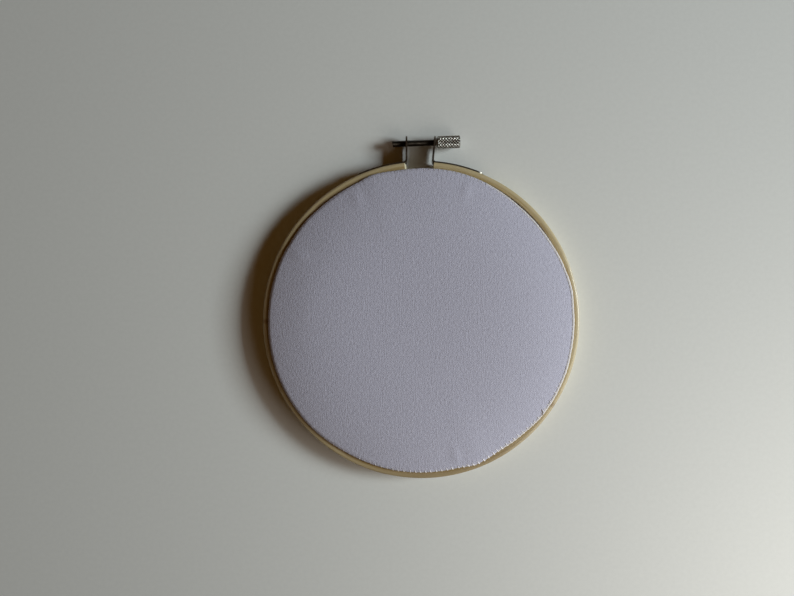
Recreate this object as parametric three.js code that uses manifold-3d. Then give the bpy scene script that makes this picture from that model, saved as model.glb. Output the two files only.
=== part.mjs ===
// A six-inch bamboo embroidery hoop with one plain cloth drawn tight in it.
// It lies flat with the cloth up: millimetres, +Z up, +Y towards the clamp screw.
// Clock angles run clockwise from +Y, seen from above, in degrees.

import * as THREE from 'three';
import { mergeVertices } from 'three/addons/utils/BufferGeometryUtils.js';
import Module from 'manifold-3d';

const wasm = await Module();
wasm.setup();

// Wood

const HOOP_RADIUS = 76;
const HOOP_WALL = 3.4;
const HOOP_HEIGHT = 9;
const ARRIS = 0.4;
const SPLIT_LEFT = -5.2;
const SPLIT_RIGHT = 4.6;
const LEFT_END_SLOPE = 1.3;
const INNER_WALL = 3;
const HALF_STEPS = 72;

// Cloth

const GAP = 0.3;
const CLOTH = 1.05;
const HOOP_BORE = HOOP_RADIUS - HOOP_WALL;
const SKIRT_OUTER = HOOP_BORE - GAP;
const SKIRT_INNER = SKIRT_OUTER - CLOTH;
const INNER_RADIUS = SKIRT_INNER - GAP;
const SKIRT_FOOT = 0.6;
const CLOTH_UNDER = HOOP_HEIGHT + GAP;
const CLOTH_TOP = CLOTH_UNDER + CLOTH;
const CLOTH_STEPS = 132;
const RIM_STEPS = 5;
const FACE_RINGS = [18, 32, 43, 52, 59, 64.5, 69];
const CROWN = 4.5;
const CROWN_POWER = 4;
const SLACK = 0.22;
const SLACK_WAVE = { length: 31, across: 0.6, along: -0.4 };
const SLACK_FADE = { full: 52, none: 67 };

// How far the folded rim reaches from the middle of the hoop.
const RIM = [
  { clock: 0, reach: 72.7 },
  { clock: 12, reach: 72.9 },
  { clock: 24, reach: 72.75 },
  { clock: 36, reach: 72.6 },
  { clock: 56, reach: 72.55 },
  { clock: 70, reach: 73.05 },
  { clock: 79, reach: 73.5 },
  { clock: 86, reach: 73 },
  { clock: 98, reach: 73.1 },
  { clock: 111, reach: 73.55 },
  { clock: 128, reach: 73.6 },
  { clock: 140, reach: 72.85 },
  { clock: 148, reach: 72.65 },
  { clock: 159, reach: 73.9 },
  { clock: 167, reach: 72.75 },
  { clock: 196, reach: 72.9 },
  { clock: 208, reach: 72.8 },
  { clock: 230, reach: 73.7 },
  { clock: 248, reach: 73.8 },
  { clock: 276, reach: 73.4 },
  { clock: 294, reach: 73.3 },
  { clock: 302, reach: 72.95 },
  { clock: 310, reach: 72.9 },
  { clock: 319, reach: 72.5 },
  { clock: 334, reach: 72.5 },
  { clock: 341, reach: 73.4 },
  { clock: 352, reach: 72.55 },
  { clock: 360, reach: 72.7 },
];
const RIM_NOMINAL = 73.8;

// Low puckers that run inwards from the rim.
const PUCKERS = [
  { clock: 19, radius: 65, length: 9, width: 5, rise: 0.2 },
  { clock: 166, radius: 66, length: 10, width: 4.5, rise: 0.22 },
  { clock: 298, radius: 66, length: 9, width: 6, rise: 0.25 },
  { clock: 332, radius: 66, length: 8, width: 5, rise: 0.2 },
];

// Clamp

const STRAP = 0.8;
const STRAP_WIDTH = 6.4;
const STRAP_LOW = (HOOP_HEIGHT - STRAP_WIDTH) / 2;
const STRAP_RADIUS = HOOP_RADIUS + GAP + STRAP / 2;
const TAIL_EDGE = 0.2;
const ARC_STEPS = 16;
const BEND_STEPS = 6;
const EAR_TOP = 89.4;
const LEFT_STRAP = { side: -1, foot: 7.1, tip: 7.1, tail: 23.8, bend: 1.9 };
const RIGHT_STRAP = { side: 1, foot: 5.7, tip: 6.8, tail: 23.4, bend: 1.3 };

const SCREW_Y = 86;
const SCREW_Z = HOOP_HEIGHT / 2;
const SCREW_TILT = THREE.MathUtils.degToRad(2.1);
const SHANK_RADIUS = 1.5;
const SHANK_START = -14.3;
const TIP_CHAMFER = 0.3;
const TIP_SLANT = THREE.MathUtils.degToRad(14);
const COLLAR = { start: 7.55, radius: 2.2 };
const HEAD = { start: 8, end: 18.9, radius: 3.05, shoulder: 0.3, chamfer: 0.3 };
const SCREW_SIDES = 24;

// The hoop's middle lies below the origin, which is the middle of the whole outline.
const HOOP_Y = -(EAR_TOP - HOOP_RADIUS) / 2;

function finish(color, roughness, metalness) {
  return new THREE.MeshStandardMaterial({ color, roughness, metalness });
}

function toSolid(geometry) {
  const bare = geometry.clone();
  bare.deleteAttribute('normal');
  bare.deleteAttribute('uv');
  const merged = mergeVertices(bare);
  const vertProperties = new Float32Array(merged.attributes.position.array);
  const triVerts = new Uint32Array(merged.index.array);
  return new wasm.Manifold(new wasm.Mesh({ numProp: 3, vertProperties, triVerts }));
}

function toGeometry(solid) {
  const mesh = solid.getMesh();
  const geometry = new THREE.BufferGeometry();
  geometry.setAttribute('position', new THREE.BufferAttribute(mesh.vertProperties, 3));
  geometry.setIndex(new THREE.BufferAttribute(mesh.triVerts, 1));
  geometry.computeVertexNormals();
  return geometry;
}

function onCircle(radius, clock) {
  const angle = THREE.MathUtils.degToRad(clock);
  return new THREE.Vector2(radius * Math.sin(angle), radius * Math.cos(angle));
}

// A flat plan raised to the hoop's height, with every edge eased.
function easedRing(plan, steps) {
  const geometry = new THREE.ExtrudeGeometry(plan, {
    depth: HOOP_HEIGHT - 2 * ARRIS,
    curveSegments: steps,
    bevelThickness: ARRIS,
    bevelSize: ARRIS,
    bevelOffset: -ARRIS,
    bevelSegments: 2,
  });
  return geometry.translate(0, 0, ARRIS);
}

// Everything beyond the slanted cut on the left end, which leans back towards its top.
function leftEndOffcut() {
  const cut = new THREE.BoxGeometry(HOOP_HEIGHT, 2 * HOOP_HEIGHT, 4 * HOOP_HEIGHT);
  cut.translate(HOOP_HEIGHT / 2, 0, 0);
  cut.rotateY(-Math.atan2(LEFT_END_SLOPE, HOOP_HEIGHT));
  const foot = onCircle(HOOP_BORE, SPLIT_LEFT);
  cut.translate(foot.x, foot.y, 0);
  return cut;
}

function outerHoop() {
  const start = THREE.MathUtils.degToRad(90 - SPLIT_LEFT);
  const end = THREE.MathUtils.degToRad(450 - SPLIT_RIGHT);
  const plan = new THREE.Shape();
  plan.absarc(0, 0, HOOP_RADIUS, start, end, false);
  plan.absarc(0, 0, HOOP_BORE, end, start, true);
  const ring = toSolid(easedRing(plan, HALF_STEPS));
  return toGeometry(ring.subtract(toSolid(leftEndOffcut())));
}

function innerHoop() {
  const plan = new THREE.Shape();
  plan.absarc(0, 0, INNER_RADIUS, 0, 2 * Math.PI, false);
  const bore = new THREE.Path();
  bore.absarc(0, 0, INNER_RADIUS - INNER_WALL, 0, 2 * Math.PI, true);
  plan.holes.push(bore);
  return easedRing(plan, HALF_STEPS);
}

function rimReach(clock) {
  const after = RIM.findIndex((station) => station.clock > clock);
  const from = RIM[after - 1];
  const to = RIM[after];
  const share = THREE.MathUtils.smoothstep(clock, from.clock, to.clock);
  return THREE.MathUtils.lerp(from.reach, to.reach, share);
}

// The face bulges, nearly level in the middle and falling more and more steeply to the rim.
function crownRise(x, y) {
  return CROWN * (1 - (Math.hypot(x, y) / RIM_NOMINAL) ** CROWN_POWER);
}

function puckerRise(x, y) {
  let rise = 0;
  for (const pucker of PUCKERS) {
    const middle = onCircle(pucker.radius, pucker.clock);
    const out = onCircle(1, pucker.clock);
    const along = (x - middle.x) * out.x + (y - middle.y) * out.y;
    const across = (x - middle.x) * out.y - (y - middle.y) * out.x;
    const spread = (2 * along / pucker.length) ** 2 + (2 * across / pucker.width) ** 2;
    rise += pucker.rise * Math.exp(-spread);
  }
  return rise;
}

function slackRise(x, y) {
  const fade = THREE.MathUtils.smoothstep(Math.hypot(x, y), SLACK_FADE.full, SLACK_FADE.none);
  const across = Math.sin(x / SLACK_WAVE.length + SLACK_WAVE.across);
  const along = Math.cos(y / SLACK_WAVE.length + SLACK_WAVE.along);
  return SLACK * (1 - fade) * (across * along) ** 2;
}

// Out over the face, round the folded rim, down the margin between the hoops and back.
function clothProfile() {
  const profile = [new THREE.Vector2(0, CLOTH_TOP)];
  for (const radius of FACE_RINGS) {
    profile.push(new THREE.Vector2(radius, CLOTH_TOP));
  }
  const half = CLOTH / 2;
  for (let step = 0; step <= RIM_STEPS; step += 1) {
    const turn = (Math.PI * step) / RIM_STEPS;
    const radius = RIM_NOMINAL - half + half * Math.sin(turn);
    profile.push(new THREE.Vector2(radius, CLOTH_UNDER + half + half * Math.cos(turn)));
  }
  profile.push(new THREE.Vector2(SKIRT_OUTER, CLOTH_UNDER));
  profile.push(new THREE.Vector2(SKIRT_OUTER, SKIRT_FOOT));
  profile.push(new THREE.Vector2(SKIRT_INNER, SKIRT_FOOT));
  profile.push(new THREE.Vector2(SKIRT_INNER, CLOTH_UNDER));
  for (const radius of [...FACE_RINGS].reverse()) {
    profile.push(new THREE.Vector2(radius, CLOTH_UNDER));
  }
  profile.push(new THREE.Vector2(0, CLOTH_UNDER));
  return profile.reverse();
}

function clothSheet() {
  const geometry = new THREE.LatheGeometry(clothProfile(), CLOTH_STEPS);
  geometry.rotateX(Math.PI / 2);
  const vertex = geometry.attributes.position;
  for (let index = 0; index < vertex.count; index += 1) {
    const x = vertex.getX(index);
    const y = vertex.getY(index);
    const radius = Math.hypot(x, y);
    if (radius > SKIRT_OUTER + GAP / 2) {
      const clock = THREE.MathUtils.radToDeg(Math.atan2(x, y));
      const share = (radius - SKIRT_OUTER) / (RIM_NOMINAL - SKIRT_OUTER);
      const reach = THREE.MathUtils.lerp(SKIRT_OUTER, rimReach((clock + 360) % 360), share);
      vertex.setXY(index, (x * reach) / radius, (y * reach) / radius);
    } else if (radius < SKIRT_INNER - GAP) {
      const rise = crownRise(x, y) + puckerRise(x, y) + slackRise(x, y);
      vertex.setZ(index, vertex.getZ(index) + rise);
    }
  }
  geometry.computeVertexNormals();
  return geometry;
}

// The middle line of a strap: round the hoop from its tail, through the bend and up the ear.
function strapLine({ side, foot, tip, tail, bend }) {
  const bendX = foot + bend;
  const bendY = Math.sqrt((STRAP_RADIUS + bend) ** 2 - bendX ** 2);
  const turn = Math.atan2(bendY, bendX);
  const line = new THREE.Path();
  line.absarc(0, 0, STRAP_RADIUS, THREE.MathUtils.degToRad(90 - tail), turn, false);
  const points = line.getPoints(ARC_STEPS / 2);
  for (let step = 1; step <= BEND_STEPS; step += 1) {
    const angle = THREE.MathUtils.lerp(turn + Math.PI, Math.PI, step / BEND_STEPS);
    points.push(new THREE.Vector2(bendX + bend * Math.cos(angle), bendY + bend * Math.sin(angle)));
  }
  points.push(new THREE.Vector2(tip, EAR_TOP));
  return points.map((point) => new THREE.Vector2(side * point.x, point.y));
}

// Both faces of a strip of the strap's thickness, its outer face thinned at the tail.
function stripPlan(line, side) {
  const near = [];
  const far = [];
  line.forEach((point, index) => {
    const before = line[Math.max(index - 1, 0)];
    const after = line[Math.min(index + 1, line.length - 1)];
    const along = after.clone().sub(before).normalize();
    const out = new THREE.Vector2(along.y, -along.x).multiplyScalar(side);
    const outer = index === 0 ? TAIL_EDGE - STRAP / 2 : STRAP / 2;
    near.push(point.clone().addScaledVector(out, -STRAP / 2));
    far.push(point.clone().addScaledVector(out, outer));
  });
  return new THREE.Shape([...near, ...far.reverse()]);
}

// A thick slab along +X, as tall as the straps and round at its far end.
function roundEndedSlab(length) {
  const round = STRAP_WIDTH / 2;
  const outline = new THREE.Shape();
  outline.moveTo(-length, 0);
  outline.absarc(length - round, round, round, -Math.PI / 2, Math.PI / 2, false);
  outline.lineTo(-length, STRAP_WIDTH);
  const depth = 4 * HOOP_RADIUS;
  const slab = new THREE.ExtrudeGeometry(outline, { depth, bevelEnabled: false });
  slab.translate(0, 0, -depth / 2);
  slab.rotateX(Math.PI / 2);
  return slab.translate(0, 0, STRAP_LOW);
}

// A geometry made along +Y is laid along the screw's axis, its zero under the middle of the split.
function alongScrew(geometry) {
  geometry.rotateZ(SCREW_TILT - Math.PI / 2);
  return geometry.translate(0, SCREW_Y, SCREW_Z);
}

// A strap is round at the ear's tip and at its tail, and the screw's hole goes through the ear.
function strap(shape) {
  const plan = stripPlan(strapLine(shape), shape.side);
  const strip = new THREE.ExtrudeGeometry(plan, { depth: STRAP_WIDTH, bevelEnabled: false });
  strip.translate(0, 0, STRAP_LOW);
  const earEnd = roundEndedSlab(EAR_TOP).rotateZ(Math.PI / 2);
  const tailEnd = roundEndedSlab(onCircle(STRAP_RADIUS, shape.tail).x);
  tailEnd.rotateZ(shape.side > 0 ? 0 : Math.PI);
  const reach = 4 * HEAD.end;
  const hole = new THREE.CylinderGeometry(SHANK_RADIUS + GAP, SHANK_RADIUS + GAP, reach, SCREW_SIDES);
  const blank = toSolid(strip).intersect(toSolid(earEnd)).intersect(toSolid(tailEnd));
  return toGeometry(blank.subtract(toSolid(alongScrew(hole))));
}

function screwProfile() {
  return [
    [0, SHANK_START],
    [SHANK_RADIUS - TIP_CHAMFER, SHANK_START],
    [SHANK_RADIUS, SHANK_START + TIP_CHAMFER],
    [SHANK_RADIUS, COLLAR.start],
    [COLLAR.radius, COLLAR.start],
    [COLLAR.radius, HEAD.start],
    [HEAD.radius, HEAD.start + HEAD.shoulder],
    [HEAD.radius, HEAD.end - HEAD.chamfer],
    [HEAD.radius - HEAD.chamfer, HEAD.end],
    [0, HEAD.end],
  ].map(([radius, along]) => new THREE.Vector2(radius, along));
}

function thumbScrew() {
  const whole = new THREE.LatheGeometry(screwProfile(), SCREW_SIDES);
  const size = 4 * SHANK_RADIUS;
  const offcut = new THREE.BoxGeometry(size, size, size);
  offcut.translate(0, -size / 2, 0);
  offcut.rotateZ(TIP_SLANT);
  offcut.translate(0, SHANK_START + SHANK_RADIUS * Math.tan(TIP_SLANT), 0);
  return alongScrew(toGeometry(toSolid(whole).subtract(toSolid(offcut))));
}

const hoop = new THREE.Group();
hoop.position.y = HOOP_Y;

function place(name, geometry, material) {
  const mesh = new THREE.Mesh(geometry, material);
  mesh.name = name;
  hoop.add(mesh);
}

place('outer_hoop', outerHoop(), finish(0xcbb487, 0.55, 0));
place('inner_hoop', innerHoop(), finish(0xcbb487, 0.6, 0));
place('cloth', clothSheet(), finish(0xcdcbda, 0.95, 0));
place('strap_left', strap(LEFT_STRAP), finish(0x77726b, 0.35, 1));
place('strap_right', strap(RIGHT_STRAP), finish(0x77726b, 0.35, 1));
place('thumb_screw', thumbScrew(), finish(0x77726b, 0.3, 1));

export default hoop;
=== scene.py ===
"""The look of a six-inch bamboo embroidery hoop with one plain cloth drawn smooth in it.

Lengths inside the shape functions are millimetres from the hoop's own middle; place() turns them
into the frame's metres. Clock angles run clockwise from the clamp, seen from above, in degrees.
"""

import math

import bmesh
import bpy
import numpy as np
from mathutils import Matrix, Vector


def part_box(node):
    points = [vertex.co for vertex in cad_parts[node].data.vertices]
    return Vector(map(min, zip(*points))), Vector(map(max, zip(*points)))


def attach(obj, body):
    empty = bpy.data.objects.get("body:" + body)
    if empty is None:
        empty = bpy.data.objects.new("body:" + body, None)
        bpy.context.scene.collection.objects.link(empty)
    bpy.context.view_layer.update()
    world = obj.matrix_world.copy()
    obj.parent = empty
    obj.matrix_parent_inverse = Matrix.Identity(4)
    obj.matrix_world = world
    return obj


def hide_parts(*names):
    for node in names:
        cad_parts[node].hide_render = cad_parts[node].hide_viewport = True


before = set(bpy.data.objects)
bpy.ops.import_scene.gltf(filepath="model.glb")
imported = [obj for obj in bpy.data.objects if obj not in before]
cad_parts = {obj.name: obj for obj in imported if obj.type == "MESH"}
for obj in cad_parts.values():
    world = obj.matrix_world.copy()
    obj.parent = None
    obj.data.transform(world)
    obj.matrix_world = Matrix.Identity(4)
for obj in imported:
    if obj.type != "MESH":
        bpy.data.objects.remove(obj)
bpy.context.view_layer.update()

bl_info = {
    "name": "Embroidery hoop",
    "version": (1, 0, 0),
    "blender": (4, 5, 0),
    "location": "3D view > Sidebar > Hoop",
    "description": "Bamboo embroidery hoop with a stretched cloth, its clamp and its stage",
    "category": "Object",
}

MM = 0.001
UV_NAME = "metres"
WELD_DISTANCE = 1e-7
SHARP_ANGLE = math.radians(40)

inner_low, inner_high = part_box("inner_hoop")
outer_low, outer_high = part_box("outer_hoop")
cloth_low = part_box("cloth")[0]

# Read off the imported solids. HOOP_Y is the hoop's own middle in the frame.
HOOP_Y = (inner_low.y + inner_high.y) / 2 / MM
HOOP_RADIUS = (outer_high.x - outer_low.x) / 2 / MM
HOOP_HEIGHT = outer_high.z / MM
INNER_RADIUS = (inner_high.x - inner_low.x) / 2 / MM
SKIRT_FOOT = cloth_low.z / MM

# The wood. The split's ends are clock angles, and its left end leans back by LEFT_END_SLOPE.
HOOP_WALL = 3.4
INNER_WALL = 3.0
HOOP_BORE = HOOP_RADIUS - HOOP_WALL
SPLIT_LEFT = 354.8
SPLIT_RIGHT = 4.6
LEFT_END_SLOPE = 1.3
EASE_STEPS = 8
SECTION_STEP = 0.7
OUTER_STATIONS = 721
INNER_STATIONS = 541

# The cloth, drawn over the inner hoop, out over the outer hoop's face and down between the two.
GAP = 0.3
CLOTH = 1.05
CLOTH_UNDER = HOOP_HEIGHT + GAP
CLOTH_TOP = CLOTH_UNDER + CLOTH
SKIRT_OUTER = HOOP_BORE - GAP
SKIRT_INNER = SKIRT_OUTER - CLOTH
CROWN_POWER = 4
RIM_NOMINAL = 73.8
SLACK = 0.22
SLACK_WAVE = {"length": 31, "across": 0.6, "along": -0.4}
SLACK_FADE = {"full": 52, "none": 67}
FACE_ROWS = 40
FOLD_STEPS = 14
CLOTH_COLUMNS = 960

# The clamp, seen from above: where a strap's foot leaves the wood, its ear's tip, its tail's end
# as a clock angle and the radius of its bend.
EAR_TOP = 89.4
STRAP_WIDTH = 6.4
LEFT_STRAP = {"side": -1, "foot": 7.1, "tip": 7.1, "tail": 23.8, "bend": 1.9}
RIGHT_STRAP = {"side": 1, "foot": 5.7, "tip": 6.8, "tail": 23.4, "bend": 1.3}
HOLE_RADIUS = 1.8
STRAP_CLEARANCE = 0.04
EDGE_EASE = 0.14
ARC_POINTS = 60
BEND_POINTS = 24

# The screw: SCREW_Y is where its axis crosses the hoop's middle, the rest are places along it.
SCREW_Y = 86.0
SCREW_TILT = math.radians(2.1)
SHANK_START = -14.3
TIP_SLANT = math.radians(14)
COLLAR_START = 7.55
HEAD_START = 8.0
HEAD_END = 18.9

# The thread's depth is a share of its pitch, and a diamond's length one of its own width. A groove
# takes up GROOVE_SHARE of the way to a diamond's middle; inside GROOVE_RADIUS it gets painted
# shade.
THREAD_DEPTH = 0.45
KNURL_DEPTH = 0.36
DIAMOND_LENGTH = 0.8
GROOVE_SHARE = 0.8
GROOVE_RADIUS = 2.86


def linear(hexadecimal):
    """The linear RGB colour of an sRGB hex number, with alpha."""
    channels = [(hexadecimal >> shift & 255) / 255 for shift in (16, 8, 0)]
    return (*(c / 12.92 if c <= 0.04045 else ((c + 0.055) / 1.055) ** 2.4 for c in channels), 1.0)


def polar(radius, clock, height):
    """Points from radii, clock angles in degrees and heights."""
    angle = np.radians(clock)
    return np.stack(
        np.broadcast_arrays(radius * np.sin(angle), radius * np.cos(angle), height), axis=-1
    )


def smoothstep(value, start, end):
    """0 up to start, 1 from end on, and an even curve between them."""
    share = np.clip((value - start) / (end - start), 0, 1)
    return share * share * (3 - 2 * share)


def smooth_line(points, steps):
    """A Catmull-Rom line through the points, with that many steps between two of them."""
    points = np.asarray(points, float)
    padded = np.vstack([2 * points[0] - points[1], points, 2 * points[-1] - points[-2]])
    line = []
    for a, b, c, d in zip(padded, padded[1:], padded[2:], padded[3:]):
        t = np.arange(steps)[:, None] / steps
        bend = 2 * a - 5 * b + 4 * c - d
        twist = -a + 3 * b - 3 * c + d
        line.append(b + 0.5 * ((c - a) * t + bend * t**2 + twist * t**3))
    return np.vstack([*line, points[-1:]])


def grid_quads(rows, columns, wrap=False):
    """Faces of a grid of points numbered row by row; wrap joins its last column to its first."""
    last = columns if wrap else columns - 1
    row, column = np.meshgrid(np.arange(rows - 1), np.arange(last), indexing="ij")
    right = (column + 1) % columns
    corners = [
        row * columns + column,
        row * columns + right,
        (row + 1) * columns + right,
        (row + 1) * columns + column,
    ]
    return np.stack(corners, axis=-1).reshape(-1, 4).tolist()


def tube(line, radius, sides):
    """A round tube with closed ends as points, faces and UVs; radius may vary along the line."""
    line = np.asarray(line, float)
    along = np.gradient(line, axis=0)
    along /= np.linalg.norm(along, axis=1)[:, None]
    any_way_but_along = (0.3, 0.2, 0.9)
    side = np.cross(along[0], any_way_but_along)
    radii = np.broadcast_to(radius, len(line))
    turn = np.arange(sides) * 2 * math.pi / sides
    rings = []
    for centre, direction, size in zip(line, along, radii):
        side = side - direction * (side @ direction)
        side /= np.linalg.norm(side)
        up = np.cross(direction, side)
        rings.append(centre + size * (np.outer(np.cos(turn), side) + np.outer(np.sin(turn), up)))
    points = np.vstack(rings)
    faces = grid_quads(len(line), sides, wrap=True)
    faces.append(list(range(sides))[::-1])
    faces.append(list(range(len(points) - sides, len(points))))
    lengths = np.concatenate([[0], np.cumsum(np.linalg.norm(np.diff(line, axis=0), axis=1))])
    around = turn * np.mean(radii)
    uv = np.stack(np.meshgrid(lengths, around, indexing="ij"), axis=-1)
    return points, faces, uv.reshape(-1, 2)


def gather(parts):
    """One set of points, faces and UVs out of several."""
    points, faces, uvs, start = [], [], [], 0
    for part_points, part_faces, part_uv in parts:
        points.append(part_points)
        uvs.append(part_uv)
        faces.extend([[corner + start for corner in face] for face in part_faces])
        start += len(part_points)
    return np.vstack(points), faces, np.vstack(uvs)


def place(name, shape, materials, body, replaced=(), finish=None):
    """Makes a piece from (points, faces, UVs) in millimetres and puts it on a CAD body."""
    points, faces, uv = shape
    mesh = bpy.data.meshes.new(name)
    in_frame = (np.asarray(points, float) + (0, HOOP_Y, 0)) * MM
    mesh.from_pydata(in_frame.tolist(), [], faces)
    layer = mesh.uv_layers.new(name=UV_NAME)
    corners = np.zeros(len(mesh.loops), int)
    mesh.loops.foreach_get("vertex_index", corners)
    layer.data.foreach_set("uv", (np.asarray(uv, float)[corners] * MM).ravel())
    for material in materials:
        mesh.materials.append(material)
    work = bmesh.new()
    work.from_mesh(mesh)
    bmesh.ops.remove_doubles(work, verts=work.verts, dist=WELD_DISTANCE)
    bmesh.ops.recalc_face_normals(work, faces=work.faces)
    if finish:
        finish(work)
    work.to_mesh(mesh)
    work.free()
    mesh.shade_smooth()
    mesh.set_sharp_from_angle(angle=SHARP_ANGLE)
    piece = bpy.data.objects.new(name, mesh)
    bpy.context.scene.collection.objects.link(piece)
    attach(piece, body)
    if replaced:
        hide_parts(*replaced)
    return piece


# Materials


def set_up(tree, node, settings=None, links=None):
    """Sets a node's properties and sockets' values, and links what feeds its other sockets."""
    for name, value in (settings or {}).items():
        if isinstance(name, str) and hasattr(node, name):
            setattr(node, name, value)
        else:
            node.inputs[name].default_value = value
    for name, source in (links or {}).items():
        tree.links.new(source, node.inputs[name])
    return node


def add_node(tree, kind, settings=None, links=None):
    """Adds a node with its settings and links."""
    return set_up(tree, tree.nodes.new(kind), settings, links)


def new_material(name):
    """A material, its node tree, its Principled shader and the piece's coordinates in metres."""
    material = bpy.data.materials.new(name)
    material.use_nodes = True
    tree = material.node_tree
    shader = tree.nodes["Principled BSDF"]
    metres = add_node(tree, "ShaderNodeUVMap", {"uv_map": UV_NAME}).outputs["UV"]
    return material, tree, shader, metres


def noise(tree, metres, per_metre, detail=2.0, roughness=0.5):
    """Noise whose cells are 1/per_metre long in u and in v."""
    scaled = add_node(
        tree, "ShaderNodeVectorMath", {"operation": "MULTIPLY", 1: (*per_metre, 1.0)}, {0: metres}
    )
    settings = {"Scale": 1.0, "Detail": detail, "Roughness": roughness}
    links = {"Vector": scaled.outputs["Vector"]}
    return add_node(tree, "ShaderNodeTexNoise", settings, links).outputs["Fac"]


def steps(tree, value, low, high, to_low=0.0, to_high=1.0):
    """value stretched so that low and high become to_low and to_high, and held between them."""
    settings = {1: low, 2: high, 3: to_low, 4: to_high}
    return add_node(tree, "ShaderNodeMapRange", settings, {0: value}).outputs[0]


def math_node(tree, operation, first, second=0.0):
    """A math node of two values, each a socket or a number."""
    settings = {"operation": operation}
    links = {}
    for index, value in enumerate((first, second)):
        (links if isinstance(value, bpy.types.NodeSocket) else settings)[index] = value
    return add_node(tree, "ShaderNodeMath", settings, links).outputs[0]


def mix_colour(tree, share, first, second):
    """A colour between first and second, each a socket or a colour."""
    settings = {"data_type": "RGBA"}
    links = {0: share}
    for index, value in ((6, first), (7, second)):
        (links if isinstance(value, bpy.types.NodeSocket) else settings)[index] = value
    return add_node(tree, "ShaderNodeMix", settings, links).outputs[2]


def bump(tree, height, distance, strength=1.0):
    """Surface relief from a height between 0 and 1, distance metres deep."""
    settings = {"Distance": distance, "Strength": strength}
    return add_node(tree, "ShaderNodeBump", settings, {"Height": height}).outputs["Normal"]


def bamboo_material(wood):
    """Bamboo, split, sanded and dipped in thin clear lacquer.

    Long pale and golden fibre streaks run round the hoop, with brown flecks, one dark stretch and
    a darker band at each node of the cane. The cane's smooth outer skin is paler than the flesh
    inside it; the same paler tone runs over the face's sanded outer rounding, where it is painted
    light on that edge. The lacquer gives the sanded edges a soft gloss.
    """
    material, tree, shader, metres = new_material("bamboo_sanded_lacquered")
    axes = add_node(tree, "ShaderNodeSeparateXYZ", links={"Vector": metres})
    along, across = axes.outputs["X"], axes.outputs["Y"]
    # Cells in a metre round the hoop and round its section: streaks of 22 by 0.5 mm, fibres of
    # 6 by 0.14 mm, flecks of 14 by 6 mm and slow changes of tone over 90 by 25 mm.
    streaks = noise(tree, metres, (45, 1900), 3.0, 0.6)
    fibres = noise(tree, metres, (180, 7000), 2.0, 0.6)
    flecks = noise(tree, metres, (70, 180), 3.0, 0.6)
    drift = noise(tree, metres, (11, 40), 1.0)
    from_dark = math_node(tree, "ABSOLUTE", math_node(tree, "SUBTRACT", along, wood.dark_at))
    node_before_clamp = 0.031
    past_node = math_node(tree, "ADD", along, node_before_clamp)
    from_node = math_node(tree, "PINGPONG", past_node, wood.cane / 2)
    colour = mix_colour(tree, steps(tree, streaks, 0.38, 0.62), wood.pale, wood.gold)
    for share, overlay in (
        (steps(tree, drift, 0.35, 0.65, 0.0, 0.55), wood.deep),
        (steps(tree, flecks, 0.56, 0.72, 0.0, 0.6), wood.brown),
        (steps(tree, fibres, 0.52, 0.74, 0.0, 0.5), wood.brown),
        # Paler below the top face: the cane's skin, and over the face's rounded outer edge painted
        # light.
        (steps(tree, across, wood.skin_from, wood.skin_to, 0.75, 0.0), wood.skin),
        (steps(tree, from_dark, 0.02, 0.075, 0.45, 0.0), wood.brown),
        (steps(tree, from_node, 0.0004, 0.0016, 0.55, 0.0), wood.brown),
    ):
        colour = mix_colour(tree, share, colour, overlay)
    gloss = steps(tree, fibres, 0.3, 0.7, 0.42, 0.6)
    relief = math_node(tree, "ADD", math_node(tree, "MULTIPLY", streaks, 0.6), fibres)
    normal = bump(tree, relief, 0.00012, 0.7)
    lacquer = {"Coat Weight": 0.8, "Coat Roughness": 0.25}
    links = {"Base Color": colour, "Roughness": gloss, "Normal": normal}
    set_up(tree, shader, lacquer, links)
    return material


def end_grain_material(wood):
    """Bamboo cut across with a fine saw and left bare.

    The cut ends of the fibre bundles, 0.6 mm apart, stand as dark dots in pale pith.
    """
    material, tree, shader, metres = new_material("bamboo_saw_cut_end")
    bundles = add_node(tree, "ShaderNodeTexVoronoi", {"Scale": 1700.0}, {"Vector": metres})
    dots = bundles.outputs["Distance"]
    colour = mix_colour(tree, steps(tree, dots, 0.15, 0.4), wood.brown, wood.pith)
    links = {"Base Color": colour, "Normal": bump(tree, dots, 0.00008)}
    set_up(tree, shader, {"Roughness": 0.8}, links)
    return material


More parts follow.
